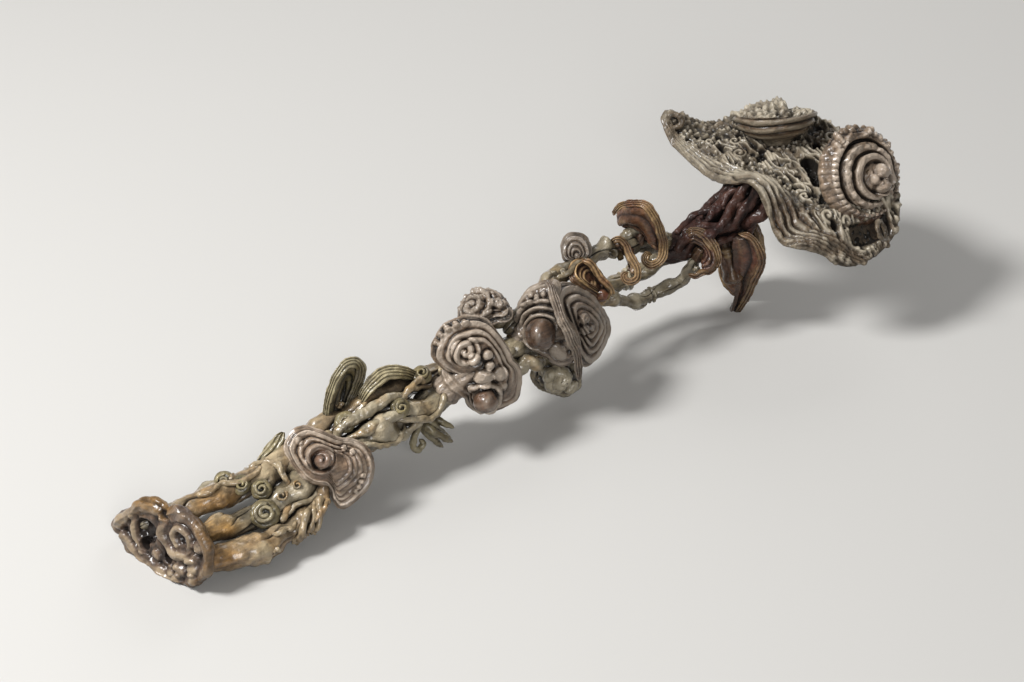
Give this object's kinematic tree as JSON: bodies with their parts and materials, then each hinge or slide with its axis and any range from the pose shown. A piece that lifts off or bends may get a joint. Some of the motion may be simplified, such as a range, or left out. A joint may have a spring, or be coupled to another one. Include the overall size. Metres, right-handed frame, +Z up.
{
  "type": "ruyi scepter",
  "caption": "Carved bamboo ruyi scepter: bundled root strands hung with ringed fungus caps, leaves and curls, between an upright tail plate and a cloud-shaped head.",
  "frame": {"origin": "middle of the footprint, on the surface the scepter lies on", "axes": "+X from the tail plate to the head, +Y to the left of someone looking along +X, +Z up"},
  "size_m": [0.3838, 0.1104, 0.0934],
  "materials": {
    "bamboo": "dark patinated bamboo root, semi-gloss",
    "worn": "bamboo root worn to ochre on its high places, semi-gloss",
    "cap": "carved bamboo, mauve brown, semi-gloss",
    "russet": "carved bamboo, reddish brown, semi-gloss",
    "leaf": "carved bamboo, olive brown, semi-gloss",
    "crust": "carved bamboo with a rough grey-brown crust",
    "peg": "plain split bamboo, matt"
  },
  "bodies": {
    "root": {"arched_leaf": "leaf", "back_cap": "cap", "ball_cap": "cap", "ball_cap_peg": "peg", "boss_peg": "peg", "core_strand": "bamboo", "core_strand_tail_peg": "peg", "core_upper_peg": "peg", "crescent_curl": "leaf", "curled_cap": "russet", "curled_cap_peg": "peg", "far_branch": "bamboo", "far_neck_cap": "russet", "far_neck_cap_peg": "peg", "far_strand": "bamboo", "far_strand_tail_peg": "peg", "far_upper_peg": "peg", "folded_cap": "russet", "hanging_cap": "russet", "hanging_cap_peg": "peg", "head_boss": "crust", "head_plate": "crust", "head_rosette": "cap", "lower_branch": "bamboo", "lower_branch_peg": "peg", "lower_cap": "cap", "lower_cap_peg": "peg", "middle_cap": "cap", "middle_cap_peg": "peg", "near_core_peg": "peg", "near_strand": "worn", "near_strand_tail_peg": "peg", "neck": "russet", "neck_cap": "russet", "neck_cap_peg": "peg", "neck_peg": "peg", "pointed_leaf": "leaf", "ridged_cap": "russet", "ridged_cap_peg": "peg", "root_tuft": "leaf", "rosette_peg": "peg", "scroll_curl": "leaf", "side_curl": "leaf", "small_fan_cap": "cap", "snail_curl_1": "leaf", "snail_curl_2": "leaf", "snail_curl_3": "leaf", "spiral_cap": "cap", "spiral_cap_peg": "peg", "tail_plate": "worn", "tall_leaf": "leaf", "top_curl": "leaf", "upper_branch": "bamboo", "upper_branch_peg": "peg", "upper_strand": "worn", "upper_strand_tail_peg": "peg", "upright_cap": "russet", "upright_cap_peg": "peg"}
  },
  "joints": []
}
